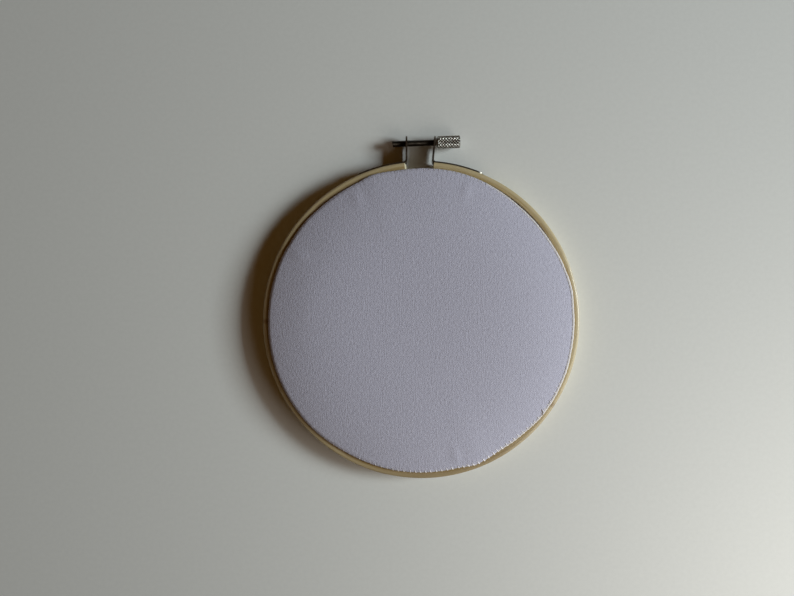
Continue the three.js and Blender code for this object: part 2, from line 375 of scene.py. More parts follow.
def cloth_material(fabric):
    """Fine plain-weave cotton, undyed white with a cool cast, pressed and matt.

    Warp and weft pass over and under each other, a few thicker places run along single threads,
    and the fibres' nap softens the edges. The colour is painted shade in the hollows between the
    threads and where the weft lies on top, and painted light on the threads' tops and where the
    warp lies on top; it is also lighter along the thicker places. The threads are drawn a third
    coarser than the real ones, which would be finer than a point of the picture.
    """
    material, tree, shader, metres = new_material("cotton_plain_weave")
    axes = add_node(tree, "ShaderNodeSeparateXYZ", links={"Vector": metres})
    bands = []
    crossings = []
    for axis, pitch in (("X", fabric.warp), ("Y", fabric.weft)):
        turns = math_node(tree, "MULTIPLY", axes.outputs[axis], math.pi / pitch)
        wave = math_node(tree, "ABSOLUTE", math_node(tree, "SINE", turns))
        bands.append(math_node(tree, "POWER", wave, 0.6))
        crossings.append(math_node(tree, "COSINE", turns))
    check = math_node(tree, "MULTIPLY", crossings[0], crossings[1])
    over = steps(tree, check, -0.5, 0.5)
    under = math_node(tree, "SUBTRACT", 1.0, over)
    warp = math_node(tree, "MULTIPLY", bands[0], math_node(tree, "ADD", over, 0.35))
    weft = math_node(tree, "MULTIPLY", bands[1], math_node(tree, "ADD", under, 0.35))
    weave = math_node(tree, "MAXIMUM", warp, weft)
    # The thicker places are 0.5 mm wide, a thread's own width, and 1.7 mm long.
    upright = noise(tree, metres, (2000, 600))
    level = noise(tree, metres, (600, 2000))
    slubs = math_node(tree, "ADD", upright, level)
    grain = steps(tree, slubs, 0.72, 1.28)
    # Painted light and shade of the weave: lighter on the threads' tops and where the warp lies on
    # top, darker in the hollows and where the weft lies on top.
    crossed = math_node(tree, "ADD", math_node(tree, "MULTIPLY", weave, 0.35), over)
    shade = math_node(tree, "ADD", crossed, grain)
    share = steps(tree, shade, 0.3, 2.1)
    colour = mix_colour(tree, share, fabric.hollow_shade, fabric.thread)
    relief = math_node(tree, "ADD", weave, math_node(tree, "MULTIPLY", grain, 1.2))
    normal = bump(tree, relief, fabric.relief)
    matt = {"Roughness": 0.95, "Specular IOR Level": 0.2}
    nap = {"Sheen Weight": 0.25, "Sheen Roughness": 0.6}
    set_up(tree, shader, matt | nap, {"Base Color": colour, "Normal": normal})
    return material


def thread_material(sewing):
    """White cotton sewing thread, three strands twisted and mercerised.

    The twist shows as slanting grooves, painted in a darker shade, and the finish as a faint silky
    shine.
    """
    material, tree, shader, metres = new_material("cotton_sewing_thread")
    axes = add_node(tree, "ShaderNodeSeparateXYZ", links={"Vector": metres})
    strands, strand_pitch = 3, 0.0008
    turns = math_node(tree, "MULTIPLY", axes.outputs["X"], 2 * math.pi / strand_pitch)
    around = math_node(tree, "MULTIPLY", axes.outputs["Y"], strands / sewing.radius)
    twist = math_node(tree, "SINE", math_node(tree, "ADD", turns, around))
    # The grooves between the strands are painted shade, a darker white.
    colour = mix_colour(tree, steps(tree, twist, -1, 0.2), sewing.groove, sewing.white)
    links = {"Base Color": colour, "Normal": bump(tree, twist, 0.00004)}
    set_up(tree, shader, {"Roughness": 0.6, "Sheen Weight": 0.3}, links)
    return material


def steel_material(name, roughness, light, dark):
    """Steel, stamped or turned and then barrel-plated with dull nickel.

    The plate is grey and a little uneven, with fine rubbed scratches that spread its highlights.
    """
    material, tree, shader, metres = new_material(name)
    # The scratches are 3 mm long and 0.4 mm apart, the clouds in the plate 2.4 mm across.
    rubbed = noise(tree, metres, (300, 2600), 3.0, 0.6)
    cloudy = noise(tree, metres, (420, 420))
    colour = mix_colour(tree, steps(tree, cloudy, 0.35, 0.65), light, dark)
    gloss = steps(tree, rubbed, 0.3, 0.7, roughness, roughness + 0.14)
    normal = bump(tree, rubbed, 0.00001)
    links = {"Base Color": colour, "Roughness": gloss, "Normal": normal}
    set_up(tree, shader, {"Metallic": 1.0}, links)
    return material


# Hoops


def eased_section(inner, outer, height, arris, face_arris):
    """A rectangle with round corners as (radius, height) pairs, from its lower inside round.

    face_arris is how far in and down the outer edge of the face is rounded.
    """
    corners = [
        (inner, 1, 0, 1, (arris, arris), 180),
        (outer, -1, 0, 1, (arris, arris), 270),
        (outer, -1, height, -1, face_arris, 0),
        (inner, 1, height, -1, (arris, arris), 90),
    ]
    section = []
    for radius, inward, level, upward, (wide, deep), start in corners:
        for step in range(EASE_STEPS + 1):
            angle = math.radians(start + 90 / EASE_STEPS * step)
            across = radius + wide * (inward + math.cos(angle))
            section.append((across, level + deep * (upward + math.sin(angle))))
    rounded = []
    for (r0, z0), (r1, z1) in zip(section, section[1:] + section[:1]):
        count = max(1, round(math.hypot(r1 - r0, z1 - z0) / SECTION_STEP))
        rounded += [(r0 + (r1 - r0) * k / count, z0 + (z1 - z0) * k / count) for k in range(count)]
    return np.array(rounded + rounded[:1])


def hoop_shape(section, first, last, slope, stations, unevenness):
    """A section swept from one clock angle to another.

    slope sets the last end back towards its top, and unevenness is how far hand bending and
    sanding take the surface from true, in waves that don't repeat within the hoop.
    """
    share = np.linspace(0, 1, stations)[:, None]
    radius, height = section[:, 0], section[:, 1]
    middle = radius.mean()
    end = last - np.degrees(slope * height / HOOP_HEIGHT / middle)
    clock = first + share * (end - first)
    turn = np.radians(clock)
    wander = np.sin(3 * turn + 0.7) + 0.6 * np.sin(7 * turn + 2.1) + 0.4 * np.sin(17 * turn)
    ripple = np.sin(11 * turn + 1.3) + 0.7 * np.sin(29 * turn + height)
    top = smoothstep(height, 0.7 * HOOP_HEIGHT, HOOP_HEIGHT)
    points = polar(
        radius + unevenness * (0.5 * wander + 0.2 * ripple),
        clock,
        height - unevenness * top * (1.2 + 0.5 * ripple),
    )
    travelled = turn * middle
    around = np.concatenate([[0], np.cumsum(np.hypot(*np.diff(section, axis=0).T))])
    uv = np.stack(np.broadcast_arrays(travelled, around), axis=-1)
    columns = len(section)
    return points.reshape(-1, 3), grid_quads(stations, columns), uv.reshape(-1, 2)


def outer_hoop(settings):
    """The split ring, its face sanded round towards the outside."""
    arris = settings.arris / MM
    face_arris = (settings.face_round / MM, settings.face_drop / MM)
    section = eased_section(HOOP_BORE, HOOP_RADIUS, HOOP_HEIGHT, arris, face_arris)
    unevenness = settings.unevenness / MM
    shape = hoop_shape(
        section, SPLIT_RIGHT, SPLIT_LEFT, LEFT_END_SLOPE, OUTER_STATIONS, unevenness
    )

    def cap_ends(work):
        """Closes both cut ends with the end-grain material, its UVs laid flat on the cut."""
        loops = [edge for edge in work.edges if edge.is_boundary]
        made = bmesh.ops.holes_fill(work, edges=loops, sides=0)["faces"]
        layer = work.loops.layers.uv.active
        for face in made:
            face.material_index = 1
            for corner in face.loops:
                spot = corner.vert.co
                corner[layer].uv = (math.hypot(spot.x, spot.y - HOOP_Y * MM), spot.z)

    materials = [bamboo_material(settings), end_grain_material(settings)]
    return place("hoop_outer_bamboo", shape, materials, "hoop", ["outer_hoop"], cap_ends)


def inner_hoop(settings):
    """The whole ring under the cloth, truer than the split one."""
    arris = settings.arris / MM
    bore = INNER_RADIUS - INNER_WALL
    section = eased_section(bore, INNER_RADIUS, HOOP_HEIGHT, arris, (arris, arris))
    shape = hoop_shape(section, 0, 360, 0, INNER_STATIONS, 0.5 * settings.unevenness / MM)
    materials = [bamboo_material(settings)]
    return place("hoop_inner_bamboo", shape, materials, "hoop", ["inner_hoop"])


# Cloth

# At the upper right the thread draws the rim back off the wood: how far, at which clock angles.
DRAWN_CLOCKS = [20, 32, 42, 52, 64, 74]
DRAWN_BACK = [0, 0.45, 0.8, 0.6, 0.3, 0]

# How far in from the rim a whip stitch starts, and how full it lies.
LENGTH_CLOCKS = [0, 20, 40, 92, 108, 145, 165, 200, 225, 320, 345]
LENGTHS = [0.95, 0.7, 0.5, 0.7, 1.5, 1.6, 1.1, 0.7, 0.4, 0.4, 0.85]
WEIGHT_CLOCKS = [0, 25, 40, 105, 125, 150, 200, 230, 330]
WEIGHTS = [0.8, 0.9, 0.7, 0.8, 1.4, 1.6, 0.8, 0.5, 0.6]
STITCH_PITCH = 2.5

# Low puckers that run inwards from the rim.
PUCKERS = [
    {"clock": 19, "radius": 65, "length": 9, "width": 5, "rise": 0.2},
    {"clock": 166, "radius": 66, "length": 10, "width": 4.5, "rise": 0.22},
    {"clock": 298, "radius": 66, "length": 9, "width": 6, "rise": 0.25},
    {"clock": 332, "radius": 66, "length": 8, "width": 5, "rise": 0.2},
]


def cad_rim():
    """Clock angles and reach of the folded rim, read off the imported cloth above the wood."""
    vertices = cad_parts["cloth"].data.vertices
    spots = np.zeros(3 * len(vertices))
    vertices.foreach_get("co", spots)
    spots = spots.reshape(-1, 3) / MM - (0, HOOP_Y, 0)
    clock = np.round(np.degrees(np.arctan2(spots[:, 0], spots[:, 1])) % 360, 1) % 360
    reach = np.hypot(spots[:, 0], spots[:, 1])
    rim = {}
    for angle, distance, level in zip(clock, reach, spots[:, 2]):
        if distance > SKIRT_INNER and level > CLOTH_UNDER + GAP / 2:
            rim[angle] = max(rim.get(angle, 0), distance)
    angles = np.array(sorted(rim))
    return angles, np.array([rim[angle] for angle in angles])


RIM_CLOCKS, RIM_REACHES = cad_rim()


def rim_reach(clock):
    """How far out the folded rim comes; at the upper right the thread pulls it off the wood."""
    clock = np.mod(clock, 360)
    drawn = np.interp(clock, DRAWN_CLOCKS, DRAWN_BACK)
    return np.interp(clock, RIM_CLOCKS, RIM_REACHES, period=360) - drawn


def rightward(clock):
    """1 at the right of the hoop, where the rim is turned down widest, and 0 at the left."""
    return 0.5 + 0.5 * np.cos(np.radians(clock - 85))


def fold_width(clock):
    """How wide the rim's rounded fold is."""
    return 0.3 + 1.2 * rightward(clock) ** 1.5


def stitch_clocks():
    """Where the whip stitches stand: closer together at the upper right than at the bottom."""
    spread = np.random.default_rng(7)
    clocks = []
    clock = 1.0
    while clock < 359.2:
        clocks.append(clock)
        closer = 0.3 * math.cos(math.radians(clock - 40))
        pitch = STITCH_PITCH - closer + spread.uniform(-0.35, 0.35)
        clock += math.degrees(pitch / RIM_NOMINAL)
    return np.array(clocks)


STITCHES = stitch_clocks()


def stitch_length(clock):
    """How far in from the rim a stitch starts: long at the lower right, hidden at the left."""
    return np.interp(np.mod(clock, 360), LENGTH_CLOCKS, LENGTHS, period=360)


def stitch_weight(clock):
    """How full a stitch lies: flattened at the left, and thin where the thread runs over it."""
    return np.interp(np.mod(clock, 360), WEIGHT_CLOCKS, WEIGHTS)


def near_stitch(clock):
    """1 at a stitch, 0 halfway to the next."""
    clock = np.mod(clock, 360)
    stops = np.concatenate([STITCHES, [STITCHES[0] + 360]])
    before = np.clip(np.searchsorted(stops, clock, side="right") - 1, 0, len(stops) - 2)
    share = (clock - stops[before]) / (stops[before + 1] - stops[before])
    return np.cos(np.pi * share) ** 2


def cloth_height(points, crown):
    """Height of the cloth's upper face above (x, y) points."""
    x, y = points[..., 0], points[..., 1]
    radius = np.hypot(x, y)
    clock = np.degrees(np.arctan2(x, y))
    rim = rim_reach(clock)
    height = CLOTH_TOP + crown * (1 - (radius / rim) ** CROWN_POWER)
    for pucker in PUCKERS:
        angle = math.radians(pucker["clock"])
        out = np.array([math.sin(angle), math.cos(angle)])
        from_middle = np.stack([x, y], axis=-1) - pucker["radius"] * out
        along = from_middle @ out
        across = from_middle @ np.array([out[1], -out[0]])
        spread = (2 * along / pucker["length"]) ** 2 + (2 * across / pucker["width"]) ** 2
        height = height + pucker["rise"] * np.exp(-spread)
    fade = smoothstep(radius, SLACK_FADE["full"], SLACK_FADE["none"])
    wave_x = np.sin(x / SLACK_WAVE["length"] + SLACK_WAVE["across"])
    wave_y = np.cos(y / SLACK_WAVE["length"] + SLACK_WAVE["along"])
    height = height + SLACK * (1 - fade) * (wave_x * wave_y) ** 2
    inward = rim - radius
    roll_width = 1.0 + rightward(clock)
    roll_depth = 0.9 - 0.7 * rightward(clock)
    roll = roll_depth * np.clip((roll_width - inward) / roll_width, 0, 1) ** 2
    dimple_width, dimple_depth = 0.45, 0.03
    from_dimple = (inward - stitch_length(clock)) / dimple_width
    dimple = dimple_depth * near_stitch(clock) * np.exp(-(from_dimple**2))
    gather_depth, gather_reach, gather_count = 0.05, 3.5, 97
    gathered = np.sin(np.radians(clock) * gather_count + 3 * np.sin(5 * clock))
    gathers = gather_depth * np.exp(-inward / gather_reach) * gathered
    return height - roll - dimple + gathers * smoothstep(inward, 0, 1)


def cloth_shape(crown):
    """The closed sheet: face, folded rim, margin down between the hoops and the reverse."""
    clock = np.linspace(0, 360, CLOTH_COLUMNS, endpoint=False)
    rim = rim_reach(clock) - 0.12 * near_stitch(clock)
    half = fold_width(clock)
    fold = rim - half
    outside = np.minimum(SKIRT_OUTER, rim - 0.1)
    rows = []
    flats = []

    def dome_row(radius, flat, below):
        """A row of the face, or of the reverse that lies below it."""
        spots = polar(radius, clock, 0.0)
        spots[:, 2] = cloth_height(spots, crown) - below
        rows.append(spots)
        flats.append(flat)

    for share in 1 - (1 - np.linspace(0.02, 1, FACE_ROWS)) ** 1.5:
        dome_row(fold * share, fold * share, 0)

    # The fold: evenly round at the left, and at the right a wide bevel over a thin lower edge.
    thick = rows[-1][:, 2] - CLOTH_UNDER
    widest = thick * (0.5 - 0.38 * rightward(clock))
    bevel = 1 + 0.6 * rightward(clock)
    for step in range(1, FOLD_STEPS + 1):
        turn = math.pi * step / FOLD_STEPS
        rise = math.cos(turn)
        furthest = thick - widest if rise > 0 else -widest
        lift = furthest * abs(rise) ** bevel
        out = half * math.sin(turn) ** bevel if step < FOLD_STEPS else 0 * half
        rows.append(polar(fold + out, clock, CLOTH_UNDER + widest + lift))
        flats.append(fold + half * turn)

    # The way along the sheet under the fold, where it turns down into the margin.
    folded = flats[-1]
    turned_in, turned_down = 1.4, 1.6
    under = np.full(CLOTH_COLUMNS, CLOTH_UNDER)
    rows.append(polar(np.minimum(outside + 0.15, fold), clock, under))
    flats.append(folded + turned_in)

    def margin_row(radius, height):
        """A row of the margin, slightly ragged at its cut edge."""
        ragged = 0.1 * np.abs(np.sin(np.radians(clock) * 61)) * (height == SKIRT_FOOT)
        rows.append(polar(radius, clock, height + ragged))
        flats.append(folded + turned_down + CLOTH_UNDER - height)

    levels = np.linspace(CLOTH_UNDER - 1, SKIRT_FOOT + 0.2, 9)
    down = [CLOTH_UNDER - 0.25, *levels, SKIRT_FOOT]
    for height in down:
        settled = smoothstep(CLOTH_UNDER - height, 1, 5)
        margin_row(outside + (SKIRT_OUTER - outside) * settled, height)
    for height in reversed(down):
        margin_row(SKIRT_INNER, height)
    for radius in np.linspace(SKIRT_INNER - 0.6, 2, 16):
        ring = np.full(CLOTH_COLUMNS, radius)
        dome_row(ring, ring, CLOTH)

    points = np.vstack(rows)
    uv = np.vstack([polar(flat, clock, 0.0)[:, :2] for flat in flats])
    faces = grid_quads(len(rows), CLOTH_COLUMNS, wrap=True)
    faces.append(list(range(CLOTH_COLUMNS))[::-1])
    faces.append(list(range(len(points) - CLOTH_COLUMNS, len(points))))
    return points, faces, uv


def cloth(settings):
    """The sheet of cotton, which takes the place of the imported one."""
    shape = cloth_shape(settings.crown / MM)
    materials = [cloth_material(settings)]
    return place("cloth_stretched", shape, materials, "hoop", ["cloth"])


# Stitches and thread ends

TUBE_SIDES = 8

# Where the thread runs along the rim, and how full it lies there, in radii of one thread.
RUN_CLOCKS = [24, 40, 60, 75, 120, 149]
RUN_SWELL = [1.5, 2.5, 2.9, 3.4, 3.4, 1.8]
RUN_HEIGHT = CLOTH_UNDER + 0.74
LOOSE_SWELL = 1.3


def stitch(clock, lean, crown):
    """One whip stitch: out of the cloth, over its rim and down between cloth and wood."""
    over = max(float(stitch_length(clock)), float(fold_width(clock)))
    offsets = np.array([-over - 0.25, -over, -0.66 * over, -0.33 * over, 0.0, 0.14, 0.14, -0.05])
    reach = float(rim_reach(clock)) - 0.12
    turn = np.degrees(lean / reach) * np.linspace(0.5, -0.5, len(offsets))
    points = polar(reach + offsets, clock + turn, 0.0)
    points[:4, 2] = cloth_height(points[:4], crown) + [-0.25, 0.0, 0.02, -0.15]
    points[4:, 2] = CLOTH_UNDER + np.array([0.42, 0.2, 0.02, -0.1])
    return smooth_line(points, 2)


def running_thread(first, last):
    """The thread that lies on the rim's fold from one stitch to the next, a little slack."""
    share = np.linspace(0, 1, 7)
    clock = first + share * (last - first)
    slack = np.sin(np.pi * share)
    middle = rim_reach(clock) - 0.5 * fold_width(clock)
    return smooth_line(polar(middle + 0.05 * slack, clock, RUN_HEIGHT + 0.03 * slack), 2)


def thread_ends():
    """The loose end of the thread along the lower rim and a short one at the lower right.

    Each is a line of radii, clock angles and heights.
    """
    tail = polar(
        [71.9, 72.5, 73.0, 73.3, 73.5, 73.7, 74.0],
        [162.9, 162.5, 161.9, 161.2, 160.5, 159.8, 159.1],
        [10.4, 10.4, 10.1, 9.6, 9.35, 9.3, 9.3],
    )
    stub = polar(
        [72.4, 73.2, 73.0, 72.2, 71.4],
        [128.6, 128.2, 127.4, 126.9, 126.6],
        [10.2, 10.55, 10.72, 10.8, 10.95],
    )
    return [smooth_line(tail, 4), smooth_line(stub, 4)]


def stitches(settings, crown):
    """Whip stitches all round; on the right the thread also runs along the rim between them."""
    spread = np.random.default_rng(11)
    radius = settings.radius / MM
    parts = []
    for clock in STITCHES:
        line = stitch(clock + spread.uniform(-0.12, 0.12), spread.uniform(0.5, 1.2), crown)
        taper = np.interp(np.linspace(0, 1, len(line)), [0, 0.5, 1], [0.45, 1.1, 0.9])
        parts.append(tube(line, radius * taper * float(stitch_weight(clock)), TUBE_SIDES))
    for first, last in zip(STITCHES, STITCHES[1:]):
        if RUN_CLOCKS[0] < first < RUN_CLOCKS[-1]:
            line = running_thread(first, last)
            fuller = 0.2 * np.sin(np.pi * np.linspace(0, 1, len(line)))
            swell = np.interp(first, RUN_CLOCKS, RUN_SWELL) + fuller
            parts.append(tube(line, radius * swell * spread.uniform(0.9, 1.1), TUBE_SIDES))
    parts += [tube(line, radius * LOOSE_SWELL, TUBE_SIDES) for line in thread_ends()]
    materials = [thread_material(settings)]
    return place("rim_stitches", gather(parts), materials, "hoop")


# Clamp


def strap_line(side, foot, tip, tail, bend, radius):
    """Middle line of a strap seen from above: round the hoop, through the bend and up the ear."""
    bend_x = foot + bend
    bend_y = math.sqrt((radius + bend) ** 2 - bend_x**2)
    turn = math.atan2(bend_y, bend_x)
    arc = np.linspace(math.radians(90 - tail), turn, ARC_POINTS)
    around = np.stack([radius * np.cos(arc), radius * np.sin(arc)], axis=-1)
    curl = np.linspace(turn + math.pi, math.pi, BEND_POINTS)[1:]
    corner = np.stack([bend_x + bend * np.cos(curl), bend_y + bend * np.sin(curl)], axis=-1)
    line = np.vstack([around, corner, [[tip, EAR_TOP]]])
    return line * (side, 1)


def strap_blank(length, thickness, hole_at, cuts):
    """The flat strip as a bmesh: both ends round, a hole and eased edges."""
    half = STRAP_WIDTH / 2
    quarter = np.linspace(-math.pi / 2, math.pi / 2, 33)
    border = [(length - half + half * math.cos(a), half * math.sin(a)) for a in quarter]
    border += [(half - half * math.cos(a), -half * math.sin(a)) for a in quarter]
    hole = [
        (hole_at + HOLE_RADIUS * math.cos(a), HOLE_RADIUS * math.sin(a))
        for a in np.linspace(0, 2 * math.pi, 48, endpoint=False)
    ]
    work = bmesh.new()
    rims = []
    for outline in (border, hole):
        corners = [work.verts.new((x, y, -thickness / 2)) for x, y in outline]
        rims += [work.edges.new(pair) for pair in zip(corners, corners[1:] + corners[:1])]
    bmesh.ops.triangle_fill(work, use_beauty=True, edges=rims)
    for cut in cuts:
        everything = work.verts[:] + work.edges[:] + work.faces[:]
        bmesh.ops.bisect_plane(work, geom=everything, plane_co=(cut, 0, 0), plane_no=(1, 0, 0))
    raised = bmesh.ops.extrude_face_region(work, geom=work.faces[:])["geom"]
    lifted = [item for item in raised if isinstance(item, bmesh.types.BMVert)]
    bmesh.ops.translate(work, verts=lifted, vec=(0, 0, thickness))
    bmesh.ops.recalc_face_normals(work, faces=work.faces)
    square = math.radians(69)
    sharp = [e for e in work.edges if len(e.link_faces) == 2 and e.calc_face_angle(0) > square]
    bmesh.ops.bevel(
        work, geom=sharp, offset=EDGE_EASE, segments=3, profile=0.5, affect="EDGES",
        clamp_overlap=True,
    )
    return work


def strap(name, bend_shape, thickness, material, replaced):
    """A strap bent out of its flat strip, its tail dressed down a little on the outside."""
    line = strap_line(radius=HOOP_RADIUS + STRAP_CLEARANCE + thickness / 2, **bend_shape)
    lengths = np.concatenate([[0], np.cumsum(np.linalg.norm(np.diff(line, axis=0), axis=1))])
    side = bend_shape["side"]
    screw_height = SCREW_Y + side * bend_shape["foot"] * math.tan(SCREW_TILT)
    hole_at = lengths[-1] - (EAR_TOP - screw_height)
    straight = lengths[-2]
    bend_start = lengths[ARC_POINTS - 1]
    cuts = [*np.arange(1, bend_start, 1.0), *np.linspace(bend_start, straight, 14)]
    work = strap_blank(lengths[-1], thickness, hole_at, cuts)
    work.verts.ensure_lookup_table()
    flat = np.array([vertex.co for vertex in work.verts])
    faces = [[corner.index for corner in face.verts] for face in work.faces]
    work.free()
    middle = np.stack([np.interp(flat[:, 0], lengths, line[:, k]) for k in (0, 1)], axis=-1)
    slope = np.gradient(line, lengths, axis=0)
    along = np.stack([np.interp(flat[:, 0], lengths, slope[:, k]) for k in (0, 1)], axis=-1)
    along[flat[:, 0] > straight] = slope[-1]
    along /= np.linalg.norm(along, axis=1)[:, None]
    out = np.stack([along[:, 1], -along[:, 0]], axis=-1) * side
    tail_share, tail_length = 0.6, 1.6
    thinned = tail_share + (1 - tail_share) * smoothstep(flat[:, 0], 0, tail_length)
    through = np.where(flat[:, 2] > 0, flat[:, 2] * thinned, flat[:, 2])
    spots = middle + out * through[:, None]
    points = np.column_stack([spots, flat[:, 1] + HOOP_HEIGHT / 2])
    return place(name, (points, faces, flat[:, :2]), [material], "hoop", [replaced])


def straps(settings):
    """Both steel straps, stamped from one strip."""
    name = "steel_stamped_nickel_plated"
    material = steel_material(name, 0.28, settings.strap_light, settings.strap_dark)
    thickness = settings.strap / MM
    return [
        strap("clamp_strap_left", LEFT_STRAP, thickness, material, "strap_left"),
        strap("clamp_strap_right", RIGHT_STRAP, thickness, material, "strap_right"),
    ]


def zigzag(value):
    """0 at whole numbers, 1 halfway between them."""
    return 1 - np.abs(2 * np.mod(value, 1) - 1)


def turned(radii, along, columns, relief=None):
    """A turned part's points, faces and UVs; relief cuts into its radius at (turn, along)."""
    turn = np.linspace(0, 2 * math.pi, columns + 1)
    radius, travel = np.asarray(radii)[:, None], np.asarray(along)[:, None]
    if relief is not None:
        radius = radius - relief(turn[None, :], travel)
    across = radius * np.cos(turn)
    lifted = radius * np.sin(turn)
    tip = SHANK_START + (radius.max() - across) * math.tan(TIP_SLANT)
    length = np.maximum(travel + 0 * across, tip)
    tilt = (math.cos(SCREW_TILT), math.sin(SCREW_TILT))
    x = length * tilt[0] - across * tilt[1]
    y = SCREW_Y + length * tilt[1] + across * tilt[0]
    points = np.stack([x, y, HOOP_HEIGHT / 2 + lifted], axis=-1).reshape(-1, 3)
    uv = np.stack(np.broadcast_arrays(travel, turn * 3), axis=-1).reshape(-1, 2)
    faces = grid_quads(len(radii), columns + 1)
    return points, faces, uv


def finish_screw(work):
    """Fills the open ends, gives the thread darker steel and paints shade into the knurl's
    grooves.
    """
    bmesh.ops.holes_fill(work, edges=[e for e in work.edges if e.is_boundary], sides=0)
    along = np.array([math.cos(SCREW_TILT), math.sin(SCREW_TILT), 0])
    through = np.array([0, SCREW_Y + HOOP_Y, HOOP_HEIGHT / 2])
    for face in work.faces:
        spot = np.array(face.calc_center_median()) / MM - through
        travel = spot @ along
        radius = np.linalg.norm(spot - travel * along)
        threaded = travel < COLLAR_START - 0.2
        grooved = HEAD_START + 0.3 < travel < HEAD_END - 0.3 and radius < GROOVE_RADIUS
        face.material_index = 1 if threaded or grooved else 0


def screw(settings):
    """The thumb screw in one piece: threaded shank, collar and knurled head."""
    pitch = settings.pitch / MM
    depth = THREAD_DEPTH * pitch
    along = np.arange(SHANK_START, COLLAR_START, pitch / 8)
    radii = np.full(len(along), settings.shank / MM)

    def thread(turn, travel):
        """The thread's groove, which runs out at the collar, and the tip's chamfer."""
        start = smoothstep(travel, SHANK_START, SHANK_START + 0.4)
        end = 1 - smoothstep(travel, COLLAR_START - 1.2, COLLAR_START - 0.8)
        groove = zigzag(travel / pitch - turn / (2 * math.pi))
        flank = np.clip(1.25 * groove - 0.12, 0, 1)
        return depth * flank * end + 0.1 * (1 - start)

    # Turned outlines as radii and steps along the axis.
    head = settings.head / MM
    collar = [(1.5, -0.05), (2.05, 0.0), (2.2, 0.08), (2.2, 0.36), (2.12, 0.44)]
    collar = [(radius, COLLAR_START + step) for radius, step in collar]
    shoulder = [(2.6, 0.02), (head - 0.2, 0.08), (head - 0.06, 0.2)]
    shoulder = [(radius, HEAD_START + step) for radius, step in shoulder]
    knurled = np.linspace(HEAD_START + 0.24, HEAD_END - 0.3, 110)

    # The real knurl has about 13 diamonds round the head. They would blur to an even grey at the
    # picture's size, so fewer and coarser ones are drawn.
    count = settings.diamonds
    width = 2 * math.pi * head / count

    def knurl(turn, travel):
        """Two crossed sets of grooves, which run out at both ends of the head."""
        reach = travel / (DIAMOND_LENGTH * width)
        first = zigzag(turn * count / (2 * math.pi) + reach)
        second = zigzag(turn * count / (2 * math.pi) - reach)
        flank = np.clip(np.minimum(first, second) / GROOVE_SHARE, 0, 1)
        fade = smoothstep(travel, HEAD_START + 0.15, HEAD_START + 0.5)
        fade = fade * (1 - smoothstep(travel, HEAD_END - 0.45, HEAD_END - 0.15))
        return KNURL_DEPTH * (1 - np.sin(0.5 * np.pi * flank)) * fade + 0.04 * (1 - fade)

    end = [(head - 0.1, -0.2), (head - 0.35, -0.02), (head - 0.5, 0.0)]
    end += [(1.4, 0.0), (1.2, -0.12), (0.3, -0.14)]
    end = [(radius, HEAD_END + step) for radius, step in end]
    shank = turned(radii, along, 40, thread)
    neck = turned(*zip(*(collar + shoulder)), 96)
    grip = turned(np.full(len(knurled), head), knurled, count * 10, knurl)
    cap = turned(*zip(*end), 96)
    plated = steel_material(
        "steel_turned_nickel_plated", 0.28, settings.plate_light, settings.plate_dark
    )
    # Darker steel for the threaded shank, and painted shade in the knurl's grooves.
    dark_shank_and_groove_shade = steel_material(
        "steel_dark_shank_and_groove_shade", 0.3, settings.dark_shank_and_groove_shade_light, settings.dark_shank_and_groove_shade_dark
    )
    return place(
        "thumb_screw_knurled", gather([shank, neck, grip, cap]), [plated, dark_shank_and_groove_shade], "screw",
        ["thumb_screw"], finish_screw,
    )


# Stage

FLOOR_REACH = 3.0
FLOOR_CORNERS = [(-1, -1), (1, -1), (1, 1), (-1, 1)]
WINDOW = {
    "azimuth": 4.4, "elevation": 27, "distance": 2.0, "size": (0.66, 0.6),
    "colour": (0.85, 0.95, 1.0),
}
LOW_WINDOW = {
    "azimuth": -34, "elevation": 32, "distance": 0.38, "size": (0.24, 0.24),
    "colour": (1.0, 0.95, 0.9),
}
LENS = 27
SENSOR_WIDTH = 36
CAMERA_PLACE = (-0.0117, 0.0039, HOOP_HEIGHT * MM + 0.2855)


def aim(thing, target):
    """Turns a light or camera at the origin of its own axes towards a point."""
    direction = target - thing.location
    thing.rotation_euler = direction.to_track_quat("-Z", "Y").to_euler()


def add_window(name, power, target, azimuth, elevation, distance, size, colour):
    """A window's soft light, from an azimuth and elevation in degrees, aimed at the target."""
    light = bpy.data.lights.new(name, "AREA")
    light.shape = "RECTANGLE"
    light.size, light.size_y = size
    light.energy = power
    light.color = colour
    lamp = bpy.data.objects.new(name, light)
    turn, rise = math.radians(azimuth), math.radians(elevation)
    lamp.location = target
    lamp.location.x += distance * math.cos(rise) * math.cos(turn)
    lamp.location.y += distance * math.cos(rise) * math.sin(turn)
    lamp.location.z += distance * math.sin(rise)
    bpy.context.scene.collection.objects.link(lamp)
    aim(lamp, target)


